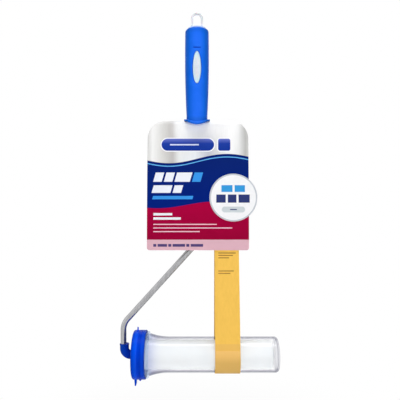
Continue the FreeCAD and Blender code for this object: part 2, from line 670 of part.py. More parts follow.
def make_storage_tube():
    """The clear tube: a spigot for the lid, a bead, a flare, a long barrel and a closed end."""
    body = new_body("storage_tube", on_roller=True)
    flare = bow(f"{BELL_RADIUS} - dim.tube_radius", "dim.bell_start - dim.bell_end")
    inner_round = "(dim.tube_round - dim.tube_wall)"
    bead_right = f"{BEAD_LEFT} + dim.bead_width"
    wall = outline(body, "tube_profile", "XZ_Plane", [
        (f"{LID_FLOOR} + dim.seal_thickness + dim.body_gap", f"{SPIGOT_RADIUS} - dim.tube_wall"),
        (BEAD_LEFT, f"{SPIGOT_RADIUS} - dim.tube_wall"),
        (bead_right, f"{BELL_RADIUS} - dim.tube_wall"),
        ("dim.bell_end", f"{BELL_RADIUS} - dim.tube_wall"),
        ("dim.bell_start", "dim.tube_radius - dim.tube_wall", flare, "left"),
        (f"{TUBE_RIGHT} - dim.tube_floor - {inner_round}", "dim.tube_radius - dim.tube_wall"),
        (f"{TUBE_RIGHT} - dim.tube_floor", f"dim.tube_radius - dim.tube_wall - {inner_round}",
         inner_round, "right"),
        (f"{TUBE_RIGHT} - dim.tube_floor", "0"),
        (TUBE_RIGHT, "0"),
        (TUBE_RIGHT, "dim.tube_radius - dim.tube_round"),
        (f"{TUBE_RIGHT} - dim.tube_round", "dim.tube_radius", "dim.tube_round", "left"),
        ("dim.bell_start", "dim.tube_radius"),
        ("dim.bell_end", BELL_RADIUS, flare, "right"),
        (bead_right, BELL_RADIUS),
        (bead_right, f"{BEAD_RADIUS} - dim.bead_round"),
        (f"{bead_right} - dim.bead_round", BEAD_RADIUS, "dim.bead_round", "left"),
        (f"{BEAD_LEFT} + dim.bead_round", BEAD_RADIUS),
        (BEAD_LEFT, f"{BEAD_RADIUS} - dim.bead_round", "dim.bead_round", "left"),
        (BEAD_LEFT, SPIGOT_RADIUS),
        (f"{LID_FLOOR} + dim.seal_thickness + dim.body_gap", SPIGOT_RADIUS),
    ])
    revolve(body, "tube_turned", wall, "H_Axis")


# ---------------------------------------------------------------- roller and its release
HUB_BORE = "(dim.spindle_radius + dim.hub_slack)"
HUB_RADIUS = "(dim.core_tube_radius - dim.core_tube_wall - dim.fit_gap)"
SLOT_LEFT = f"({DOG_PLACE} - dim.dog_length / 2 - dim.body_gap)"
SLOT_RIGHT = f"({DOG_PLACE} + dim.dog_length / 2 + dim.body_gap)"
GROOVE_RADIUS = "(dim.dog_reach + dim.body_gap)"


def make_bearings():
    """The bushes, the thrust washers on both sides, and the clip that keeps the roller on."""
    ring_on_roller("thrust_washer_inner", LID_FLOOR, f"{LID_FLOOR} + dim.washer_thickness",
                   ROD_BORE, "dim.washer_inner_radius")
    ring_on_roller("bush_inner", SPINDLE_LEFT, f"{SPINDLE_LEFT} + dim.bush_length",
                   ROD_BORE, "dim.bush_radius")
    ring_on_roller("bush_outer", OUTER_BUSH, f"{OUTER_BUSH} + dim.bush_length",
                   ROD_BORE, "dim.bush_radius")
    ring_on_roller("thrust_washer_outer", f"{CLIP_LEFT} - dim.washer_thickness", CLIP_LEFT,
                   ROD_BORE, "dim.bush_radius - dim.body_gap")
    clip = ring_on_roller("rod_end_clip", CLIP_LEFT, f"{CLIP_LEFT} + dim.clip_thickness",
                          "dim.clip_seat + dim.fit_gap", "dim.clip_radius")
    mouth = outline(clip, "clip_mouth_profile", "YZ_Plane",
                    rectangle("-dim.clip_mouth / 2", "-2 * dim.clip_radius",
                              "dim.clip_mouth / 2", "0"))
    pocket_through(clip, "clip_mouth", mouth)


def make_spindle():
    """The spindle: bush seats, a partition, the button's bore, and slots for the lock dogs."""
    seat = "dim.bush_radius + dim.fit_gap"
    body = turned_on_roller("spindle", [
        (SPINDLE_LEFT, seat),
        (f"{SPINDLE_LEFT} + dim.bush_length", seat),
        (f"{SPINDLE_LEFT} + dim.bush_length", "dim.spindle_relief"),
        (OUTER_BUSH, "dim.spindle_relief"),
        (OUTER_BUSH, seat),
        (PARTITION, seat),
        (PARTITION, "0"),
        (f"{PARTITION} + dim.partition_thickness", "0"),
        (f"{PARTITION} + dim.partition_thickness", "dim.button_bore"),
        (SPINDLE_RIGHT, "dim.button_bore"),
        (SPINDLE_RIGHT, "dim.spindle_radius"),
        (f"{SPINDLE_LEFT} + dim.flange_thickness", "dim.spindle_radius"),
        (f"{SPINDLE_LEFT} + dim.flange_thickness", "dim.spindle_flange"),
        (SPINDLE_LEFT, "dim.spindle_flange"),
    ])
    slots = outline(body, "slot_profile", "XY_Plane",
                    rectangle(SLOT_LEFT, "-dim.dog_width / 2 - dim.body_gap",
                              SLOT_RIGHT, "dim.dog_width / 2 + dim.body_gap"))
    pocket_through(body, "dog_slots", slots)


def make_sleeve():
    """The roller sleeve: foam on a hard core, with a hub in each end."""
    ring_on_roller("sleeve_core", f"{SLEEVE_LEFT} + dim.hub_flange",
                   f"{SLEEVE_RIGHT} - dim.hub_flange",
                   "dim.core_tube_radius - dim.core_tube_wall", "dim.core_tube_radius")
    turned_on_roller("foam_cover", [
        (SLEEVE_LEFT, "dim.core_tube_radius + dim.fit_gap"),
        (SLEEVE_RIGHT, "dim.core_tube_radius + dim.fit_gap"),
        (SLEEVE_RIGHT, "dim.foam_radius - dim.foam_round"),
        (f"{SLEEVE_RIGHT} - dim.foam_round", "dim.foam_radius", "dim.foam_round", "left"),
        (f"{SLEEVE_LEFT} + dim.foam_round", "dim.foam_radius"),
        (SLEEVE_LEFT, "dim.foam_radius - dim.foam_round", "dim.foam_round", "left"),
    ])
    turned_on_roller("sleeve_hub_inner", [
        (SLEEVE_LEFT, HUB_BORE),
        (f"{SLEEVE_LEFT} + dim.inner_hub_length", HUB_BORE),
        (f"{SLEEVE_LEFT} + dim.inner_hub_length", HUB_RADIUS),
        (f"{SLEEVE_LEFT} + dim.hub_flange", HUB_RADIUS),
        (f"{SLEEVE_LEFT} + dim.hub_flange", "dim.core_tube_radius"),
        (SLEEVE_LEFT, "dim.core_tube_radius"),
    ])
    turned_on_roller("sleeve_hub_outer", [
        (f"{SLEEVE_RIGHT} - dim.outer_hub_length", HUB_BORE),
        (SLOT_LEFT, HUB_BORE),
        (SLOT_LEFT, GROOVE_RADIUS),
        (SLOT_RIGHT, GROOVE_RADIUS),
        (SLOT_RIGHT, HUB_BORE),
        (SLEEVE_RIGHT, HUB_BORE),
        (SLEEVE_RIGHT, "dim.core_tube_radius"),
        (f"{SLEEVE_RIGHT} - dim.hub_flange", "dim.core_tube_radius"),
        (f"{SLEEVE_RIGHT} - dim.hub_flange", HUB_RADIUS),
        (f"{SLEEVE_RIGHT} - dim.outer_hub_length", HUB_RADIUS),
    ])


def make_release_button():
    """The push button: a guide, the cone that frees the dogs, and the thumb end."""
    shoulder = f"({DOG_PLACE} + dim.dog_length / 2 + dim.button_stroke + 2 * dim.body_gap)"
    turned_on_roller("release_button", [
        (BUTTON_LEFT, "0"),
        (BUTTON_RIGHT, "0"),
        (BUTTON_RIGHT, "dim.button_radius - dim.button_round"),
        (f"{BUTTON_RIGHT} - dim.button_round", "dim.button_radius", "dim.button_round", "left"),
        (shoulder, "dim.button_radius"),
        (shoulder, f"dim.cone_large - dim.cone_fall * ({shoulder} - {SLOT_LEFT})"),
        (SLOT_LEFT, "dim.cone_large"),
        (SLOT_LEFT, "dim.button_radius"),
        (BUTTON_LEFT, "dim.button_radius"),
    ])


def make_lock_dog(name, side):
    """A lock dog: side is "1" for the upper one and "-1" for the lower one."""
    body = new_body(name, on_roller=True)
    left = f"({DOG_PLACE} - dim.dog_length / 2)"
    right = f"({DOG_PLACE} + dim.dog_length / 2)"
    lift = "dim.body_gap * sqrt(1 + dim.cone_fall^2)"
    inner_left = f"(dim.cone_large - dim.cone_fall * ({left} - {SLOT_LEFT}) + {lift})"
    inner_right = f"(dim.cone_large - dim.cone_fall * ({right} - {SLOT_LEFT}) + {lift})"
    profile = outline(body, f"{name}_profile", "XZ_Plane", [
        (left, f"{side} * {inner_left}"),
        (right, f"{side} * {inner_right}"),
        (right, f"{side} * 2 * dim.dog_reach"),
        (left, f"{side} * 2 * dim.dog_reach"),
    ])
    pad(body, f"{name}_block", profile, "dim.dog_width")
    trim = outline(body, f"{name}_trim", "XZ_Plane",
                   rectangle(f"{left} - 1", "dim.dog_reach", f"{right} + 1", "3 * dim.dog_reach"))
    revolve(body, f"{name}_rounded", trim, "H_Axis", "PartDesign::Groove")


def make_button_spring():
    """The coil spring between the partition and the button."""
    body = new_body("button_spring", on_roller=True)
    start = f"({PARTITION} + dim.partition_thickness + dim.spring_wire + dim.fit_gap)"
    end = f"({BUTTON_LEFT} - dim.spring_wire - dim.fit_gap)"
    wire = circle(body, "spring_section", "XZ_Plane", start, "dim.spring_radius", "dim.spring_wire")
    coil = body.newObject("PartDesign::AdditiveHelix", "spring_coil")
    coil.Profile = wire
    coil.ReferenceAxis = (wire, ["H_Axis"])
    coil.Mode = "height-turns-angle"
    coil.setExpression("Height", f"{end} - {start}")
    coil.setExpression("Turns", "dim.spring_turns")


# ---------------------------------------------------------------- card, sticker and strap
FOLD_HEIGHT = "(dim.ridge_top - dim.ridge_radius)"
PANEL_RADIUS = (f"((dim.card_depth^2 + ({FOLD_HEIGHT} - dim.card_bottom)^2 - dim.ridge_radius^2)"
                " / (2 * (dim.card_depth - dim.ridge_radius)))")


def fold_end(inset):
    """Where the back panel's arc meets the fold's arc, on a surface inset from the outer one."""
    share = f"((dim.ridge_radius - {inset}) / ({PANEL_RADIUS} - dim.ridge_radius))"
    across = f"({share} * ({PANEL_RADIUS} - dim.card_depth))"
    up = f"({FOLD_HEIGHT} + {share} * ({FOLD_HEIGHT} - dim.card_bottom))"
    return across, up


def corner_cut(across, up, radius, side, end):
    """The scrap outside a rounded corner. Side and end, "1" or "-1", point out of the card."""
    turn = "left" if side == end else "right"
    return [
        (f"{across} + {side}", f"{up} - {end} * {radius}"),
        (across, f"{up} - {end} * {radius}"),
        (f"{across} - {side} * {radius}", up, radius, turn),
        (f"{across} - {side} * {radius}", f"{up} + {end}"),
        (f"{across} + {side}", f"{up} + {end}"),
    ]


def make_header_card():
    """The header card: one sheet folded over the rod below the handle, front and back panels."""
    body = new_body("header_card")
    inner_depth = "(dim.card_depth - dim.card_thickness)"
    outer_across, outer_up = fold_end("0")
    inner_across, inner_up = fold_end("dim.card_thickness")
    inner_panel = f"{PANEL_RADIUS} - dim.card_thickness"
    inner_fold = "dim.ridge_radius - dim.card_thickness"
    sheet = outline(body, "card_profile", "YZ_Plane", [
        ("-dim.card_depth", "dim.card_bottom"),
        (f"-{outer_across}", outer_up, PANEL_RADIUS, "right"),
        (outer_across, outer_up, "dim.ridge_radius", "right"),
        ("dim.card_depth", "dim.card_bottom", PANEL_RADIUS, "right"),
        (inner_depth, "dim.card_bottom"),
        (inner_across, inner_up, inner_panel, "left"),
        (f"-{inner_across}", inner_up, inner_fold, "left"),
        (f"-{inner_depth}", "dim.card_bottom", inner_panel, "left"),
    ])
    sheet.setExpression("AttachmentOffset.Base.z", "dim.card_left")
    pad(body, "card_sheet", sheet, "dim.card_width", both_ways=False)
    corners = blank_sketch(body, "corner_profile", "XZ_Plane")
    for across, side in (("dim.card_left", "-1"), (CARD_RIGHT, "1")):
        add_outline(corners, corner_cut(across, "dim.ridge_top", "dim.shoulder_radius", side, "1"))
        add_outline(corners, corner_cut(across, "dim.card_bottom", "dim.card_corner", side, "-1"))
    pocket_through(body, "card_corners", corners)
    hole = circle(body, "rod_hole_profile", "XY_Plane", "0", "0", "dim.rod_radius + dim.card_hole_gap")
    pocket_through(body, "rod_hole", hole)


def panel_place(height, lift):
    """How far forward a surface lifted off the front panel lies at a height."""
    radius = f"({PANEL_RADIUS} + {lift})"
    return (f"({PANEL_RADIUS} - dim.card_depth"
            f" - sqrt({radius}^2 - ({height} - dim.card_bottom)^2))")


def make_card_disc():
    """The round sticker on the front panel, which reaches past the card's right edge."""
    body = new_body("card_disc")
    outer_lift = "(dim.glue_gap + dim.disc_thickness)"
    bottom = "(dim.disc_height - 1.1 * dim.disc_radius)"
    top = "(dim.disc_height + 1.1 * dim.disc_radius)"
    band = outline(body, "disc_band", "YZ_Plane", [
        (panel_place(bottom, outer_lift), bottom),
        (panel_place(top, outer_lift), top, f"{PANEL_RADIUS} + {outer_lift}", "right"),
        (panel_place(top, "dim.glue_gap"), top),
        (panel_place(bottom, "dim.glue_gap"), bottom, f"{PANEL_RADIUS} + dim.glue_gap", "left"),
    ])
    band.setExpression("AttachmentOffset.Base.z", f"{DISC_ACROSS} - 1.1 * dim.disc_radius")
    pad(body, "disc_sheet", band, "2.2 * dim.disc_radius", both_ways=False)
    scrap = outline(body, "disc_scrap", "XZ_Plane",
                    rectangle(f"{DISC_ACROSS} - 1.3 * dim.disc_radius",
                              "dim.disc_height - 1.3 * dim.disc_radius",
                              f"{DISC_ACROSS} + 1.3 * dim.disc_radius",
                              "dim.disc_height + 1.3 * dim.disc_radius"))
    add_circle(scrap, DISC_ACROSS, "dim.disc_height", "dim.disc_radius")
    pocket_through(body, "disc_round", scrap)


def strap_touch(radius, start):
    """Where the back of the strap, coming from the card's edge, meets a circle round the tube."""
    fall = "(dim.card_bottom - dim.roller_axis)"
    angle = f"(atan({start} / {fall}) + acos({radius} / sqrt({start}^2 + {fall}^2)))"
    return f"({radius} * sin({angle}))", f"(dim.roller_axis + {radius} * cos({angle}))"


def make_card_strap():
    """The strap: glued inside both panels, it runs round the tube and laps over itself below."""
    body = new_body("card_strap")
    outer_start = "(dim.card_depth - dim.card_thickness - dim.strap_inset)"
    inner_start = f"({outer_start} - dim.strap_thickness)"
    inner = "(dim.tube_radius + dim.body_gap)"
    outer = f"({inner} + dim.strap_thickness)"
    lap = f"({outer} + dim.strap_thickness)"
    inner_across, inner_up = strap_touch(inner, inner_start)
    outer_across, outer_up = strap_touch(outer, outer_start)
    lap_across, lap_up = strap_touch(lap, f"({outer_start} + dim.strap_thickness)")
    lap_rise = f"(({outer_across} - {outer_start}) / (dim.card_bottom - {outer_up}))"
    lap_top = f"({outer_across} - {lap_rise} * (dim.lap_height - {outer_up}))"
    band = outline(body, "strap_profile", "YZ_Plane", [
        (f"-{outer_start}", "dim.strap_start"),
        (f"-{outer_start}", "dim.card_bottom"),
        (f"-{lap_top}", "dim.lap_height"),
        (f"-{lap_top} - dim.strap_thickness", "dim.lap_height"),
        (f"-{lap_across}", lap_up),
        ("0", f"dim.roller_axis - {lap}", lap, "left"),
        (f"{lap} * sin(dim.lap_angle)", f"dim.roller_axis - {lap} * cos(dim.lap_angle)", lap, "left"),
        (f"{outer} * sin(dim.lap_angle)", f"dim.roller_axis - {outer} * cos(dim.lap_angle)"),
        (outer_across, outer_up, outer, "left"),
        (outer_start, "dim.card_bottom"),
        (outer_start, "dim.strap_start"),
        (inner_start, "dim.strap_start"),
        (inner_start, "dim.card_bottom"),
        (inner_across, inner_up),
        ("0", f"dim.roller_axis - {inner}", inner, "right"),
        (f"-{inner_across}", inner_up, inner, "right"),
        (f"-{inner_start}", "dim.card_bottom"),
        (f"-{inner_start}", "dim.strap_start"),
    ])
    band.setExpression("AttachmentOffset.Base.z", STRAP_LEFT)
    pad(body, "strap_band", band, "dim.strap_width", both_ways=False)
    right = f"({STRAP_LEFT} + dim.strap_width)"
    low = f"dim.roller_axis - {lap} - 1"
    taper = outline(body, "strap_taper", "XZ_Plane", [
        (right, low),
        (f"{right} + 1", low),
        (f"{right} + 1", "dim.strap_start + 1"),
        (f"{right} - dim.strap_taper", "dim.strap_start + 1"),
    ])
    pocket_through(body, "strap_tapered", taper)


# ---------------------------------------------------------------- build and write
make_handle_core()
make_grip_sleeve()
make_frame_rod()
make_elbow_boot()
make_storage_lid()
make_lid_seal()
make_storage_tube()
make_bearings()
make_spindle()
make_sleeve()
make_release_button()
make_lock_dog("lock_dog_upper", "1")
make_lock_dog("lock_dog_lower", "-1")
make_button_spring()
make_header_card()
make_card_disc()
make_card_strap()
doc.recompute()

for item in doc.Objects:
    if "Invalid" in item.State or "Error" in item.State:
        raise RuntimeError(f"{item.Name} did not build: {item.State}")

os.makedirs("parts", exist_ok=True)
for node in nodes:
    if node.Shape.isNull() or not node.Shape.isValid() or len(node.Shape.Solids) != 1:
        raise RuntimeError(f"{node.Label} is not one sound solid")
    node.Shape.exportStep(f"parts/{node.Label}.step")
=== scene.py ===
import math

import bmesh
import bpy
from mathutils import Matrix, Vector, noise


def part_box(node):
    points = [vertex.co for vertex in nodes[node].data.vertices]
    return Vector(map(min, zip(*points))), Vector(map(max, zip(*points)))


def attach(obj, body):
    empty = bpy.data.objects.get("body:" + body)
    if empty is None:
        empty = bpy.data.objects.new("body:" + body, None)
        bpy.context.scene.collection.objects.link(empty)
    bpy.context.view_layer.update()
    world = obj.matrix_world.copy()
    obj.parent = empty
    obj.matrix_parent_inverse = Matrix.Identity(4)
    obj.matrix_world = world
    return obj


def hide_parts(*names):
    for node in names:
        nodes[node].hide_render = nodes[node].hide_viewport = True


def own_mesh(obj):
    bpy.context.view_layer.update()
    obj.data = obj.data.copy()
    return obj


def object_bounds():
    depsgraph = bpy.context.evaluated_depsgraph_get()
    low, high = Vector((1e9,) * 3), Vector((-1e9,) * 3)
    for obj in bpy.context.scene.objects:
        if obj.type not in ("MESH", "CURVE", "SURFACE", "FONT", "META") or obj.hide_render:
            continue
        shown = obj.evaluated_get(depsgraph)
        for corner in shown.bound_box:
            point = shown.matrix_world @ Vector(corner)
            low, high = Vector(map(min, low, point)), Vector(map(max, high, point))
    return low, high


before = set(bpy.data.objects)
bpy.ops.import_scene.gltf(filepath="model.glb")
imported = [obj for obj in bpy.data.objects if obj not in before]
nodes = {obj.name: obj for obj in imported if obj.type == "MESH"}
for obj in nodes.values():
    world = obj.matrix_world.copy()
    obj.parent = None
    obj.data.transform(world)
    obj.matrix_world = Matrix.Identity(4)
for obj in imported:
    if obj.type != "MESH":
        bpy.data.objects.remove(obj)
cad_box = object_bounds()


# ---------------------------------------------------------------- helpers for materials
def linear(red, green, blue, alpha=1.0):
    """A colour given as it looks on screen, from 0 to 255, as Blender's linear colour."""
    def channel(value):
        value = value / 255
        return value / 12.92 if value <= 0.04045 else ((value + 0.055) / 1.055) ** 2.4
    return (channel(red), channel(green), channel(blue), alpha)


def grey(level):
    """A linear grey, from 0 to 1."""
    return (level, level, level, 1.0)


def seen_share(tree):
    """1 for a ray of the camera, of gloss or through glass, and 0 for any other."""
    rays = tree.nodes.new("ShaderNodeLightPath")
    share = rays.outputs["Is Camera Ray"]
    for kind in ("Is Glossy Ray", "Is Transmission Ray"):
        either = tree.nodes.new("ShaderNodeMath")
        either.operation = "MAXIMUM"
        tree.links.new(share, either.inputs[0])
        tree.links.new(rays.outputs[kind], either.inputs[1])
        share = either.outputs[0]
    return share


class Look:
    """A node material that is built up with short calls. Places are in metres, in the shared frame."""

    def __init__(self, name, **values):
        self.material = bpy.data.materials.new(name)
        self.material.use_nodes = True
        self.tree = self.material.node_tree
        self.tree.nodes.clear()
        self.out = self.add("ShaderNodeOutputMaterial")
        self.shader = self.add("ShaderNodeBsdfPrincipled")
        self.link(self.shader.outputs["BSDF"], self.out.inputs["Surface"])
        for key, value in values.items():
            self.shader.inputs[key.replace("_", " ")].default_value = value
        self.place = self.add("ShaderNodeTexCoord").outputs["Object"]
        self.axes = None

    def add(self, kind, **settings):
        node = self.tree.nodes.new(kind)
        for key, value in settings.items():
            setattr(node, key, value)
        return node

    def link(self, source, target):
        self.tree.links.new(source, target)

    def feed(self, socket, value):
        """Puts a number, a colour or a node's output on a socket."""
        if hasattr(value, "is_output"):
            self.link(value, socket)
        else:
            socket.default_value = value

    def axis(self, letter):
        """One coordinate of the point that is shaded."""
        if self.axes is None:
            self.axes = self.add("ShaderNodeSeparateXYZ")
            self.link(self.place, self.axes.inputs[0])
        return self.axes.outputs[letter]

    def normal(self, letter):
        """One part of the surface's normal."""
        parts = self.add("ShaderNodeSeparateXYZ")
        self.link(self.add("ShaderNodeNewGeometry").outputs["Normal"], parts.inputs[0])
        return parts.outputs[letter]

    def math(self, operation, *values, clamp=False):
        node = self.add("ShaderNodeMath", operation=operation, use_clamp=clamp)
        for socket, value in zip(node.inputs, values):
            self.feed(socket, value)
        return node.outputs[0]

    def length(self, one, other):
        """The length of the arrow with these two parts."""
        squares = [self.math("MULTIPLY", part, part) for part in (one, other)]
        return self.math("SQRT", self.math("ADD", *squares))

    def band(self, value, low, high, soft):
        """1 where value lies between low and high, with edges soft wide."""
        rise = self.step(value, low, soft)
        fall = self.step(value, high, soft)
        return self.math("SUBTRACT", rise, fall, clamp=True)

    def step(self, value, edge, soft):
        """0 below the edge and 1 above it, over a slope soft wide. The edge may be a node's output."""
        if hasattr(edge, "is_output"):
            value, edge = self.math("SUBTRACT", value, edge), 0.0
        node = self.add("ShaderNodeMapRange", interpolation_type="SMOOTHSTEP")
        self.feed(node.inputs["Value"], value)
        node.inputs["From Min"].default_value = edge - soft / 2
        node.inputs["From Max"].default_value = edge + soft / 2
        return node.outputs["Result"]

    def noise(self, scale, detail=3.0, rough=0.5, stretch=(1, 1, 1)):
        """A noise that is drawn out along an axis where its stretch is below 1."""
        place = self.place
        if stretch != (1, 1, 1):
            mapping = self.add("ShaderNodeMapping")
            mapping.inputs["Scale"].default_value = stretch
            self.link(place, mapping.inputs["Vector"])
            place = mapping.outputs["Vector"]
        node = self.add("ShaderNodeTexNoise")
        node.inputs["Scale"].default_value = scale
        node.inputs["Detail"].default_value = detail
        node.inputs["Roughness"].default_value = rough
        self.link(place, node.inputs["Vector"])
        return node.outputs["Fac"]

    def ramp(self, value, *stops):
        """Colours by value: each stop is (place, colour)."""
        node = self.add("ShaderNodeValToRGB")
        elements = node.color_ramp.elements
        while len(elements) < len(stops):
            elements.new(0.5)
        for element, (place, colour) in zip(elements, stops):
            element.position = place
            element.color = colour
        self.feed(node.inputs["Fac"], value)
        return node.outputs["Color"]

    def mix(self, share, first, second, blend="MIX"):
        """The first colour where share is 0, and the second one, or both blended, where it is 1."""
        node = self.add("ShaderNodeMix", data_type="RGBA", blend_type=blend)
        self.feed(node.inputs["Factor"], share)
        self.feed(node.inputs["A"], first)
        self.feed(node.inputs["B"], second)
        return node.outputs["Result"]

    def times(self, first, *others):
        """These colours multiplied."""
        for other in others:
            first = self.mix(1.0, first, other, "MULTIPLY")
        return first

    def span(self, value, low, high, out_low=0.0, out_high=1.0):
        """The value's way from low to high, as a number from out_low to out_high."""
        node = self.add("ShaderNodeMapRange")
        self.feed(node.inputs["Value"], value)
        node.inputs["From Min"].default_value = low
        node.inputs["From Max"].default_value = high
        node.inputs["To Min"].default_value = out_low
        node.inputs["To Max"].default_value = out_high
        return node.outputs["Result"]

    def colour(self, value):
        self.feed(self.shader.inputs["Base Color"], value)

    def painted(self):
        """The colour that the shader has so far."""
        return self.shader.inputs["Base Color"].links[0].from_socket

    def rough(self, value, low, high):
        """Roughness from low to high, by a noise."""
        self.feed(self.shader.inputs["Roughness"], self.span(value, 0.3, 0.7, low, high))

    def bump(self, height, distance, strength=1.0):
        """A bump on top of those that the shader has."""
        node = self.add("ShaderNodeBump")
        node.inputs["Strength"].default_value = strength
        node.inputs["Distance"].default_value = distance
        self.feed(node.inputs["Height"], height)
        previous = self.shader.inputs["Normal"]
        if previous.is_linked:
            self.link(previous.links[0].from_socket, node.inputs["Normal"])
        self.link(node.outputs["Normal"], previous)

    def blend(self, share, first, second):
        """The first shader where share is 0, and the second one where it is 1."""
        node = self.add("ShaderNodeMixShader")
        self.feed(node.inputs[0], share)
        self.link(first.outputs[0], node.inputs[1])
        self.link(second.outputs[0], node.inputs[2])
        return node


def put(look, *names):
    """Gives a material to CAD nodes."""
    for name in names:
        mesh = nodes[name].data
        mesh.materials.clear()
        mesh.materials.append(look.material)


def moulded(name, colour, darker, low, high, grain=0.00002, specular=0.3, **values):
    """Moulded plastic: slow colour variation, a fine grain, and small differences in gloss."""
    look = Look(name, Specular_IOR_Level=specular, **values)
    slow = look.noise(38, 3)
    look.colour(look.ramp(slow, (0.35, darker), (0.65, colour)))
    look.rough(look.noise(260, 4), low, high)
    look.bump(look.noise(2600, 2), grain)
    look.bump(look.noise(120, 2), 0.00006, 0.4)
    return look


# ---------------------------------------------------------------- handle
core = moulded("pale_core_plastic", linear(226, 233, 241), linear(219, 227, 237), 0.22, 0.34,
               Subsurface_Weight=0.15, Subsurface_Scale=0.004)
window_low, window_high = -0.0816, -0.0430      # heights of the ends of the grip's oval windows
window_middle = (window_low + window_high) / 2
window_across, window_up = 0.0051, (window_high - window_low) / 2
pads_top = -0.03                                # the pads' rim lies below this height
collar_tone, loop_tone = -0.016, -0.0118        # heights where the tones of the collar and the loop start
tone_soft = 0.0012
pad_x = core.math("DIVIDE", core.axis("X"), window_across)
pad_z = core.math("DIVIDE", core.math("SUBTRACT", core.axis("Z"), window_middle), window_up)
pad_rim = core.math("MULTIPLY", core.step(core.length(pad_x, pad_z), 0.72, 0.3),
                    core.math("LESS_THAN", core.axis("Z"), pads_top))
tinted = core.mix(core.math("MULTIPLY", pad_rim, 0.8), core.painted(), linear(205, 238, 252))
collar = core.band(core.axis("Z"), collar_tone, loop_tone, tone_soft)
tinted = core.mix(collar, tinted, linear(188, 214, 250))
loop = core.step(core.axis("Z"), loop_tone, tone_soft)
core.colour(core.mix(loop, tinted, linear(224, 225, 229)))
put(core, "handle_core")

grip_low, grip_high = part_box("grip_sleeve")
grip_half = 0.0118                              # half the grip's width where its sides turn away
seam_half = 0.00018
grip = Look("blue_soft_grip", Specular_IOR_Level=0.4, IOR=1.15)
mottle = grip.noise(55, 4)
blue = grip.ramp(mottle, (0.3, linear(30, 110, 246)), (0.7, linear(42, 117, 254)))
# Painted shade: the grip's blue darkens towards its left and right sides.
aside = grip.math("DIVIDE", grip.math("ABSOLUTE", grip.axis("X")), grip_half)
edges = grip.ramp(aside, (0.0, grey(1)), (0.35, (0.9, 0.98, 0.97, 1)), (0.7, (0.38, 0.86, 0.86, 1)),
                  (0.9, (0.34, 0.77, 0.70, 1)))
# Painted shade: the grip darkens towards both ends, most in a painted shadow under the collar at the top.
ends = grip.ramp(grip.span(grip.axis("Z"), grip_low.z, grip_high.z), (0.0, (0.9, 0.8, 0.72, 1)),
                 (0.06, (0.9, 0.84, 0.78, 1)), (0.1, grey(1)), (0.93, grey(1)),
                 (0.975, (0.92, 0.9, 0.86, 1)), (0.99, (0.5, 0.6, 0.56, 1)))
grip.colour(grip.times(blue, edges, ends))
grip.rough(grip.noise(420, 4), 0.36, 0.5)
grip.bump(grip.noise(3200, 2), 0.00004)
seam = grip.band(grip.axis("Y"), -seam_half, seam_half, 0.0002)
grip.bump(seam, 0.00012)
put(grip, "grip_sleeve")

# ---------------------------------------------------------------- rod, boot and lid
rod = Look("bright_plated_rod", Metallic=0.85)
drawn = rod.noise(420, 4, 0.6, (1, 1, 0.06))
rod.colour(rod.ramp(drawn, (0.3, linear(160, 160, 162)), (0.7, linear(186, 186, 188))))
rod.rough(drawn, 0.11, 0.18)
rod.bump(drawn, 0.00002)
put(rod, "frame_rod")

boot = moulded("dark_blue_boot", grey(1), grey(0.92), 0.34, 0.46, specular=0.25, IOR=1.12)
boot_low, boot_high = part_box("elbow_boot")
# Painted shade: the boot's blue darkens across it, most near its right end.
boot_shade = boot.ramp(boot.span(boot.axis("X"), boot_low.x, boot_high.x), (0.0, linear(16, 72, 174)),
                      (0.45, linear(4, 52, 170)), (0.8, linear(1, 34, 146)), (1.0, linear(3, 56, 178)))
boot.colour(boot.times(boot.painted(), boot_shade))
put(boot, "elbow_boot")

lid = moulded("blue_lid_plastic", grey(1), grey(0.94), 0.26, 0.38, specular=0.25, IOR=1.12)
lid_low, lid_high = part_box("storage_lid")
# Painted light and shade: lighter bands with a painted highlight on the left ribs, and darker bands between
# the ribs.
rib_light_and_shade = lid.ramp(lid.span(lid.axis("X"), lid_low.x, lid_high.x), (0.0, linear(6, 68, 190)),
                (0.16, linear(1, 72, 218)), (0.30, linear(8, 84, 238)), (0.40, linear(22, 90, 244)),
                (0.49, linear(2, 62, 210)), (0.66, linear(1, 60, 206)), (0.80, linear(12, 72, 216)),
                (0.92, linear(10, 68, 206)), (1.0, linear(14, 70, 190)))
# Painted shade: the lid gets darker towards its lower part.
height = lid.ramp(lid.span(lid.axis("Z"), lid_high.z - 0.0600, lid_high.z - 0.0035),
                  (0.0, grey(0.83)), (0.6, grey(0.9)), (0.8, grey(1)))
lid.colour(lid.times(lid.painted(), rib_light_and_shade, height))
put(lid, "storage_lid")

seal = moulded("pale_seal_rubber", linear(205, 208, 212), linear(190, 194, 200), 0.5, 0.65)
put(seal, "lid_seal")

# ---------------------------------------------------------------- clear tube
# Clear plastic: see-through with a tint that depends on the angle, a little haze, and a gloss on top.
tube = Look("clear_tube_plastic")
tube.tree.nodes.remove(tube.shader)
see_through = tube.add("ShaderNodeBsdfTransparent")
facing = tube.add("ShaderNodeLayerWeight")
facing.inputs["Blend"].default_value = 0.5
grazing = facing.outputs["Facing"]
clear = tube.ramp(grazing, (0.0, grey(0.999)), (0.46, (0.993, 0.993, 0.994, 1)),
                  (0.52, (0.88, 0.878, 0.895, 1)), (0.64, (0.80, 0.80, 0.825, 1)),
                  (0.78, (0.74, 0.745, 0.77, 1)), (1.0, (0.7, 0.71, 0.74, 1)))
end_face = tube.step(tube.math("ABSOLUTE", tube.normal("X")), 0.994, 0.008)
clear = tube.mix(end_face, clear, (0.992, 0.992, 0.994, 1))
end_depth = 0.0037                              # the thicker look reaches this far from the closed end
thicker_end = tube.step(tube.axis("X"), cad_box[1].x - end_depth, 0.001)
clear = tube.mix(thicker_end, clear, (0.90, 0.90, 0.915, 1), "MULTIPLY")
lid_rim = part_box("storage_lid")[1].x
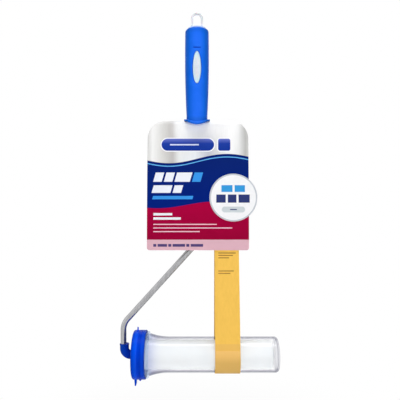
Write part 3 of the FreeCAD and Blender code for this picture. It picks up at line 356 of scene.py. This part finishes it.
bead_start, bead_end = lid_rim - 0.0005, lid_rim + 0.0042
outside_lid = tube.step(tube.axis("X"), bead_start, 0.001)
past_lid_bounce = tube.step(tube.axis("X"), lid_rim + 0.010, 0.020)
beside_lid = tube.math("SUBTRACT", outside_lid, past_lid_bounce, clamp=True)
bead = tube.band(tube.axis("X"), bead_start, bead_end, 0.001)
past_flare = tube.step(tube.axis("X"), lid_rim + 0.026, 0.024)
flare = tube.math("SUBTRACT", outside_lid, past_flare, clamp=True)
side_wall = tube.math("MULTIPLY", flare, tube.step(grazing, 0.38, 0.08))
clear = tube.mix(side_wall, clear, (0.935, 0.935, 0.95, 1), "MULTIPLY")
# Painted shade with a blue bounce from the lid, beside the lid, and a painted blue refraction of the lid over
# the bead.
lid_bounce = tube.times(clear, (0.905, 0.91, 0.965, 1))
see_through_colour = tube.mix(beside_lid, clear, lid_bounce)
see_through_colour = tube.mix(bead, see_through_colour, (0.92, 0.95, 0.995, 1))
tube.link(see_through_colour, see_through.inputs["Color"])
haze = tube.add("ShaderNodeBsdfDiffuse")
# Painted blue bounce from the lid in the haze beside it, and a painted blue refraction of the lid over the
# bead.
haze_and_bounce = tube.mix(beside_lid, (0.98, 0.98, 0.985, 1), (0.62, 0.76, 0.98, 1))
tube.feed(haze.inputs["Color"], tube.mix(bead, haze_and_bounce, (0.56, 0.70, 0.97, 1)))
haze_share = tube.span(tube.noise(70, 3), 0.3, 0.7, 0.02, 0.04)
haze_share = tube.math("MAXIMUM", haze_share, tube.math("MULTIPLY", bead, 0.2))
cloudy = tube.blend(haze_share, see_through, haze)
gloss = tube.add("ShaderNodeBsdfGlossy")
gloss.inputs["Roughness"].default_value = 0.12
gloss.inputs["Color"].default_value = (0.95, 0.96, 0.98, 1)
ripple = tube.add("ShaderNodeBump")
ripple.inputs["Distance"].default_value = 0.0002
ripple.inputs["Strength"].default_value = 0.5
tube.feed(ripple.inputs["Height"], tube.noise(90, 2, 0.5, (0.35, 1, 1)))
tube.link(ripple.outputs["Normal"], gloss.inputs["Normal"])
shine = tube.ramp(grazing, (0.0, grey(0.01)), (0.7, grey(0.03)), (0.92, grey(0.12)), (1.0, grey(0.3)))
tube.link(tube.blend(shine, cloudy, gloss).outputs[0], tube.out.inputs["Surface"])
put(tube, "storage_tube")

# ---------------------------------------------------------------- roller
white = moulded("white_hub_plastic", linear(236, 238, 240), linear(226, 229, 232), 0.34, 0.46)
put(white, "spindle", "sleeve_hub_inner", "sleeve_hub_outer")
acetal = moulded("white_bearing_acetal", linear(240, 240, 236), linear(230, 230, 226), 0.3, 0.4)
put(acetal, "bush_inner", "bush_outer", "lock_dog_upper", "lock_dog_lower")
nylon = moulded("off_white_washer_nylon", linear(232, 231, 224), linear(221, 220, 212), 0.35, 0.45)
put(nylon, "thrust_washer_inner", "thrust_washer_outer")
sleeve = moulded("grey_sleeve_plastic", linear(206, 211, 218), linear(196, 201, 209), 0.4, 0.5)
put(sleeve, "sleeve_core")
button = moulded("pale_button_plastic", linear(226, 230, 236), linear(216, 221, 229), 0.25, 0.35)
put(button, "release_button")

steel = Look("spring_steel", Metallic=1.0)
scale = steel.noise(900, 3)
steel.colour(steel.ramp(scale, (0.3, linear(150, 152, 156)), (0.7, linear(186, 188, 192))))
steel.rough(scale, 0.28, 0.42)
put(steel, "rod_end_clip", "button_spring")

# The spring gets shorter as the button goes in; here it is a copy with its own mesh that rides with the
# roller.
coil = bpy.data.objects.new("button_spring_coil", nodes["button_spring"].data.copy())
bpy.context.scene.collection.objects.link(coil)
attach(coil, "roller")
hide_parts("button_spring")
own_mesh(coil)

# ---------------------------------------------------------------- foam cover
foam_low, foam_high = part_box("foam_cover")
axis_height = (foam_low.z + foam_high.z) / 2
foam_radius = (foam_high.z - foam_low.z) / 2
bore_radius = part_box("sleeve_core")[1].z - axis_height
foam_round, foam_crown = 0.0016, 0.0004         # rounding of the foam's ends, and crown of its end faces
round_start = 0.78                              # share of the way out where the rounding starts
foam_rings, foam_turns = 150, 144
slow_scale, slow_depth = 55, 0.00022            # the skin's slow waves
fine_scale, fine_depth = 900, 0.00009           # the skin's grain
skin_sink = 0.00018                             # the whole skin lies this much deeper


def foam_profile():
    """Points (along, radius) from the bore at one end, over the outside, to the bore at the other."""
    ends = []
    for share in (0.0, 0.5, round_start, 0.9, 0.96, 0.99, 1.0):
        bulge = foam_crown * math.sin(math.pi * share)
        radius = bore_radius + (foam_radius - bore_radius) * share
        drop = foam_round * max(0.0, (share - round_start) / (1 - round_start)) ** 2.2
        ends.append((drop - bulge + foam_crown, radius))
    length = foam_high.x - foam_low.x
    middle = [(foam_round + (length - 2 * foam_round) * index / foam_rings, foam_radius)
              for index in range(1, foam_rings)]
    return ends + middle + [(length - along, radius) for along, radius in reversed(ends)]


def make_foam():
    """The foam as a turned shape with a slightly uneven skin."""
    mesh = bpy.data.meshes.new("foam_cover_soft")
    shape = bmesh.new()
    rings = []
    for along, radius in foam_profile():
        ring = []
        outside = max(0.0, (radius - bore_radius) / (foam_radius - bore_radius))
        for index in range(foam_turns):
            angle = 2 * math.pi * index / foam_turns
            place = Vector((along, math.cos(angle) * radius, math.sin(angle) * radius))
            slow = noise.noise(place * slow_scale) * slow_depth
            fine = noise.noise(place * fine_scale) * fine_depth
            dent = (slow + fine - skin_sink) * outside
            place.y += math.cos(angle) * dent
            place.z += math.sin(angle) * dent
            place.x += foam_low.x
            place.z += axis_height
            ring.append(shape.verts.new(place))
        rings.append(ring)
    rings.append(rings[0])
    for one, other in zip(rings, rings[1:]):
        for index in range(foam_turns):
            after = (index + 1) % foam_turns
            shape.faces.new((one[index], one[after], other[after], other[index]))
    bmesh.ops.recalc_face_normals(shape, faces=shape.faces)
    shape.to_mesh(mesh)
    shape.free()
    mesh.polygons.foreach_set("use_smooth", [True] * len(mesh.polygons))
    cover = bpy.data.objects.new("foam_cover_soft", mesh)
    bpy.context.scene.collection.objects.link(cover)
    return cover


foam_look = Look("white_fine_foam", Roughness=0.95, Specular_IOR_Level=0.15, Diffuse_Roughness=1.0)
cells = foam_look.add("ShaderNodeTexVoronoi")
cells.inputs["Scale"].default_value = 1900
foam_look.link(foam_look.place, cells.inputs["Vector"])
cloud = foam_look.noise(60, 4)
foam_tone = foam_look.ramp(cloud, (0.3, linear(248, 251, 253)), (0.7, linear(252, 254, 255)))
# Painted shade in the foam's pores, where the cells' bump sinks.
pore_shade = foam_look.ramp(cells.outputs["Distance"], (0.0, (0.88, 0.88, 0.87, 1)), (0.35, grey(1)))
foam_look.colour(foam_look.mix(0.5, foam_tone, pore_shade, "MULTIPLY"))
foam_look.bump(cells.outputs["Distance"], 0.0003, 0.7)
foam = make_foam()
foam.data.materials.append(foam_look.material)
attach(foam, "roller")
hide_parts("foam_cover")

# ---------------------------------------------------------------- card, sticker and strap
print_soft, block_soft = 0.0004, 0.0003         # width of the edges of the print's areas and blocks
white_ink, sky_ink, rose_ink, violet_ink = (238, 241, 250), (58, 150, 232), (238, 196, 212), (84, 72, 120)
navy_ink, bright_ink = (22, 40, 104), (44, 150, 218)
far_inside = -0.1                               # lower than any value that pill gives


def chip(of, wide, tall, left, right, bottom, top, slant=0.0):
    """A plain rectangle of the print, or a leaning one."""
    if slant:
        middle = (bottom + top) / 2
        wide = of.math("MULTIPLY_ADD", of.math("SUBTRACT", tall, middle), -slant, wide)
    return of.math("MULTIPLY", of.band(wide, left, right, block_soft), of.band(tall, bottom, top, block_soft))


def pill(of, wide, tall, middle, half, corner):
    """How far a point is outside a rectangle with rounded corners."""
    past = []
    for value, centre, size in zip((wide, tall), middle, half):
        away = of.math("ABSOLUTE", of.math("SUBTRACT", value, centre))
        past.append(of.math("MAXIMUM", of.math("SUBTRACT", away, size - corner), 0.0))
    return of.math("SUBTRACT", of.length(*past), corner)


def wavy_edge(of, wide, start, swing, middle):
    """The height of a wave across the card."""
    angle = of.math("MULTIPLY_ADD", wide, wave_rate, start)
    return of.math("ADD", of.math("MULTIPLY", of.math("SINE", angle), swing), middle)


# The card's print, on both panels: silver above, navy, crimson, and a pink foot.
card_low, card_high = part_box("header_card")
card_middle = (card_low.x + card_high.x) / 2
wave_rate = 46.0                                # radians of the waves for each metre
foot_edge = -0.2640                             # height of the pink foot's edge
fold_depth = 0.0062                             # the fold reaches this far below the card's top
card = Look("printed_card", Roughness=0.5, Specular_IOR_Level=0.03)
side = card.math("MULTIPLY_ADD", card.math("GREATER_THAN", card.axis("Y"), 0.0), -2.0, 1.0)
across = card.math("MULTIPLY", card.math("SUBTRACT", card.axis("X"), card_middle), side)
up = card.axis("Z")
place = card.math("DIVIDE", card.math("SUBTRACT", card.axis("X"), card_low.x), card_high.x - card_low.x)
# Painted reflection: the silver's light and dark bands across the card; lit paints a brighter glare on its
# upper middle.
silver_and_sheen = card.ramp(place, (0.0, linear(216, 216, 214)), (0.05, linear(246, 246, 245)),
                   (0.15, linear(220, 219, 216)), (0.25, linear(196, 193, 191)),
                   (0.31, linear(234, 236, 236)), (0.47, linear(236, 240, 244)),
                   (0.60, linear(195, 197, 208)), (0.68, linear(218, 219, 221)),
                   (0.83, linear(251, 251, 250)), (0.90, linear(236, 236, 236)),
                   (0.97, linear(190, 190, 188)), (1.0, linear(206, 206, 204)))
lit = card.math("MULTIPLY", card.step(up, -0.146, 0.03), card.band(place, 0.26, 0.9, 0.1))
silver_and_sheen = card.mix(card.math("MULTIPLY", lit, 0.75), silver_and_sheen, linear(252, 252, 252))
grain = card.noise(700, 3, 0.5, (1, 1, 0.05))
silver_and_sheen = card.mix(0.08, silver_and_sheen, card.ramp(grain, (0.3, (0.5, 0.5, 0.52, 1)), (0.7, grey(1))), "MULTIPLY")
top_edge = wavy_edge(card, across, 0.0, 0.0055, -0.1690)
second_edge = wavy_edge(card, across, 0.6, 0.004, -0.2235)
navy = card.ramp(card.span(up, -0.225, -0.165), (0.0, linear(3, 32, 122)), (1.0, linear(11, 36, 110)))
red = card.ramp(card.span(up, -0.268, -0.222), (0.0, linear(150, 4, 52)), (1.0, linear(172, 4, 62)))
colour = card.mix(card.step(up, top_edge, print_soft), navy, silver_and_sheen)
colour = card.mix(card.step(up, second_edge, print_soft), red, colour)
colour = card.mix(card.step(up, foot_edge, print_soft), linear(224, 180, 193), colour)
stripe = card.band(card.math("SUBTRACT", up, top_edge), -0.0042, -0.0030, 0.0003)
colour = card.mix(stripe, colour, linear(96, 176, 235))

# A rounded bar and a small square, both with a pale rim.
badge_height, badge_half, badge_rim = -0.1525, 0.0072, 0.0012
badge_tone = card.ramp(card.span(up, -0.1600, -0.1450), (0.0, linear(22, 54, 150)),
                       (0.6, linear(34, 62, 160)), (1.0, linear(104, 118, 200)))
for badge_middle, badge_width, corner in ((-0.012, 0.031, badge_half), (0.031, badge_half, 0.0024)):
    badge = pill(card, across, up, (badge_middle, badge_height), (badge_width, badge_half), corner)
    colour = card.mix(card.band(badge, far_inside, badge_rim, print_soft), colour, linear(246, 247, 252))
    colour = card.mix(card.band(badge, far_inside, 0.0, print_soft), colour, badge_tone)

# Rows of plain blocks: bottom, top, slant, and each block's left, right and ink.
lean = 0.28
for bottom, top, slant, blocks in (
        (-0.1533, -0.1517, 0.0, ((-0.033, 0.001, (214, 222, 246)),)),
        (-0.1965, -0.1855, lean, ((-0.051, -0.041, white_ink), (-0.0385, -0.0285, white_ink),
                                  (-0.026, -0.008, white_ink), (-0.0055, 0.0045, sky_ink))),
        (-0.2095, -0.2005, lean, ((-0.053, -0.031, white_ink), (-0.0285, -0.0185, white_ink))),
        (-0.2170, -0.2130, lean, ((-0.053, -0.006, sky_ink),)),
        (-0.2358, -0.2330, 0.0, ((-0.052, -0.030, white_ink),)),
        (-0.2408, -0.2380, 0.0, ((-0.052, -0.020, white_ink),)),
        (-0.2468, -0.2456, 0.0, ((-0.052, 0.022, rose_ink),)),
        (-0.2510, -0.2498, 0.0, ((-0.052, 0.040, rose_ink),)),
        (-0.2552, -0.2540, 0.0, ((-0.052, 0.002, rose_ink),)),
        (-0.2722, -0.2690, 0.0, ((-0.052, -0.0485, violet_ink), (-0.0470, -0.0360, violet_ink),
                                 (-0.0345, -0.0310, violet_ink), (-0.0295, -0.0150, violet_ink),
                                 (-0.0135, -0.0100, violet_ink), (-0.0085, 0.0060, violet_ink)))):
    for left, right, ink in blocks:
        block = chip(card, across, up, left, right, bottom, top, slant)
        colour = card.mix(block, colour, linear(*ink))

# The panels' inner faces are bare board.
outward = card.math("MULTIPLY", card.normal("Y"), card.math("SIGN", card.axis("Y")))
board = card.ramp(card.noise(500, 4), (0.3, linear(206, 204, 198)), (0.7, linear(222, 220, 214)))
above_fold = card.step(up, card_high.z - fold_depth, print_soft)
printed = card.math("MAXIMUM", card.step(outward, 0.2, 0.1), above_fold)
card.colour(card.mix(printed, board, colour))
card.bump(card.noise(900, 3), 0.00002)
card.bump(card.noise(28, 2), 0.0006, 0.25)
put(card, "header_card")

disc_low, disc_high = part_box("card_disc")
disc_x, disc_z = (disc_low.x + disc_high.x) / 2, (disc_low.z + disc_high.z) / 2
disc = Look("white_sticker", Roughness=0.35, Specular_IOR_Level=0.3)
dx = disc.math("SUBTRACT", disc.axis("X"), disc_x)
dz = disc.math("SUBTRACT", disc.axis("Z"), disc_z)
rim_start = 0.0262                              # radius where the sticker's grey rim starts
paper = disc.ramp(disc.noise(300, 3), (0.3, linear(243, 244, 246)), (0.7, linear(248, 248, 250)))
tone = disc.mix(disc.step(disc.length(dx, dz), rim_start, print_soft), paper, linear(196, 200, 208))
for left, right, bottom, top, ink in (
        (-0.014, -0.001, 0.0065, 0.0145, bright_ink), (0.0015, 0.0135, 0.0065, 0.0145, bright_ink),
        (-0.020, -0.009, -0.0060, 0.0035, navy_ink), (-0.0065, 0.0035, -0.0060, 0.0035, navy_ink),
        (0.006, 0.019, -0.0060, 0.0035, navy_ink)):
    tone = disc.mix(chip(disc, dx, dz, left, right, bottom, top), tone, linear(*ink))
soft_bar = pill(disc, dx, dz, (0.0, -0.0140), (0.0135, 0.0034), 0.0034)
tone = disc.mix(disc.band(soft_bar, far_inside, 0.0, 0.0012), tone, linear(204, 212, 216))
tone = disc.mix(chip(disc, dx, dz, -0.004, 0.004, -0.0146, -0.0134), tone, linear(*navy_ink))
disc.colour(tone)
disc.bump(disc.noise(600, 3), 0.00002)
put(disc, "card_disc")

strap = Look("yellow_strap_board", Roughness=0.6, Specular_IOR_Level=0.2)
fibres = strap.noise(420, 5, 0.6, (1, 1, 0.35))
plain = strap.ramp(fibres, (0.3, linear(243, 194, 86)), (0.7, linear(250, 201, 92)))
strap_low, strap_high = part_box("card_strap")
lap_edge, lap_soft = -0.3922, 0.0006            # height of the edge of the strap's lap, and its softness
lap_bottom = -0.424
shade_reach = 0.008                             # the darker band above the lap's edge
mark_height, mark_share = 0.0012, 0.75
above_lap = strap.step(strap.axis("Z"), lap_edge, lap_soft)
# Painted shade: the lap darkens towards its bottom, where the strap turns under the tube.
lap_shade = strap.ramp(strap.span(strap.axis("Z"), lap_bottom, lap_edge), (0.0, linear(214, 172, 92)),
                      (0.55, linear(222, 178, 98)), (0.8, linear(238, 190, 108)),
                      (1.0, linear(243, 196, 115)))
lap_side = strap.math("LESS_THAN", strap.axis("Y"), 0.0)
shade = strap.band(strap.axis("Z"), lap_edge, lap_edge + shade_reach, 0.0012)
under_tone = strap.mix(shade, plain, linear(238, 189, 96))
on_lap = strap.math("MULTIPLY", strap.math("SUBTRACT", 1.0, above_lap), lap_side)
strap_tone = strap.mix(on_lap, under_tone, lap_shade)
strap_across = strap.math("SUBTRACT", strap.axis("X"), (strap_low.x + strap_high.x) / 2)
for left, right, bottom in ((-0.011, 0.0095, -0.2802), (-0.011, 0.006, -0.2830), (-0.011, 0.0015, -0.2858),
                            (-0.011, 0.0070, -0.3010), (-0.011, 0.003, -0.3038)):
    mark = chip(strap, strap_across, strap.axis("Z"), left, right, bottom, bottom + mark_height)
    strap_tone = strap.mix(strap.math("MULTIPLY", mark, mark_share), strap_tone, linear(128, 88, 44))
strap.colour(strap_tone)
strap.bump(fibres, 0.00003)
strap.bump(strap.noise(25, 2), 0.0005, 0.3)
put(strap, "card_strap")


# ---------------------------------------------------------------- floor, light and camera
def camera_white(name, colour, near_share, reach):
    """A plain surface that looks white to the camera, in gloss and through glass. It keeps shadows
    near the object, where the white has a smaller share."""
    look = Look(name)
    look.tree.nodes.remove(look.shader)
    plain = look.add("ShaderNodeBsdfDiffuse")
    plain.inputs["Color"].default_value = colour
    glow = look.add("ShaderNodeEmission")
    glow.inputs["Strength"].default_value = 1.0
    away = look.add("ShaderNodeVectorMath", operation="LENGTH")
    look.link(look.place, away.inputs[0])
    share = look.add("ShaderNodeMapRange", interpolation_type="SMOOTHSTEP")
    look.link(away.outputs["Value"], share.inputs["Value"])
    share.inputs["From Max"].default_value = reach
    share.inputs["To Min"].default_value = near_share
    white = look.math("MULTIPLY", seen_share(look.tree), share.outputs["Result"])
    look.link(look.blend(white, plain, glow).outputs[0], look.out.inputs["Surface"])
    return look.material


floor_mesh = bpy.data.meshes.new("floor")
floor_height = cad_box[0].z - 0.10              # the object hangs this far above the floor
floor_half = 6.0
floor_mesh.from_pydata([(-floor_half, -floor_half, 0), (floor_half, -floor_half, 0),
                        (floor_half, floor_half, 0), (-floor_half, floor_half, 0)], [], [(0, 1, 2, 3)])
floor = bpy.data.objects.new("floor", floor_mesh)
floor.location.z = floor_height
bpy.context.scene.collection.objects.link(floor)
floor_mesh.materials.append(camera_white("pale_floor", (0.86, 0.86, 0.86, 1), 0.75, 0.35))

world = bpy.data.worlds.new("studio")
bpy.context.scene.world = world
world.use_nodes = True
sky = world.node_tree
background = sky.nodes["Background"]
background.inputs["Color"].default_value = (1, 1, 1, 1)
# The camera, gloss and glass see a white world. Any other ray gets only a little light from it.
level = sky.nodes.new("ShaderNodeMapRange")
level.inputs["To Min"].default_value = 0.06
level.inputs["To Max"].default_value = 1.0
sky.links.new(seen_share(sky), level.inputs["Value"])
sky.links.new(level.outputs["Result"], background.inputs["Strength"])


def lamp(name, place, target, size, power):
    """A rectangular softbox that looks at target. Its size is in metres and its power in watts."""
    data = bpy.data.lights.new(name, "AREA")
    data.shape = "RECTANGLE"
    data.size, data.size_y = size
    data.energy = power
    made = bpy.data.objects.new(name, data)
    bpy.context.scene.collection.objects.link(made)
    made.location = place
    made.rotation_euler = (Vector(target) - Vector(place)).to_track_quat("-Z", "Y").to_euler()
    return made


middle = (0.0, 0.0, -0.21)
front = lamp("front_softbox", (0.02, -1.25, -0.16), middle, (0.45, 0.6), 7.9)
front.visible_glossy = False                    # no highlight of this lamp on the rod and lid
lamp("top_softbox", (0.0, -0.13, 0.75), (0.0, 0.0, -0.4), (0.9, 0.5), 10.5)
lamp("right_softbox", (0.95, -0.4, -0.05), middle, (0.7, 0.9), 0.5)
lamp("left_softbox", (-0.95, -0.3, -0.05), middle, (0.7, 0.9), 0.5)
lamp("back_softbox", (0.15, 1.15, 0.4), middle, (0.9, 0.9), 6.0)

camera_data = bpy.data.cameras.new("camera")
camera_data.lens = 40.5
camera_data.sensor_width = 36.0
camera = bpy.data.objects.new("camera", camera_data)
bpy.context.scene.collection.objects.link(camera)
camera.location = (0.0036, -0.540, -0.2178)
camera.rotation_euler = (math.pi / 2, 0, 0)
bpy.context.scene.camera = camera
bpy.context.scene.view_settings.view_transform = "Standard"
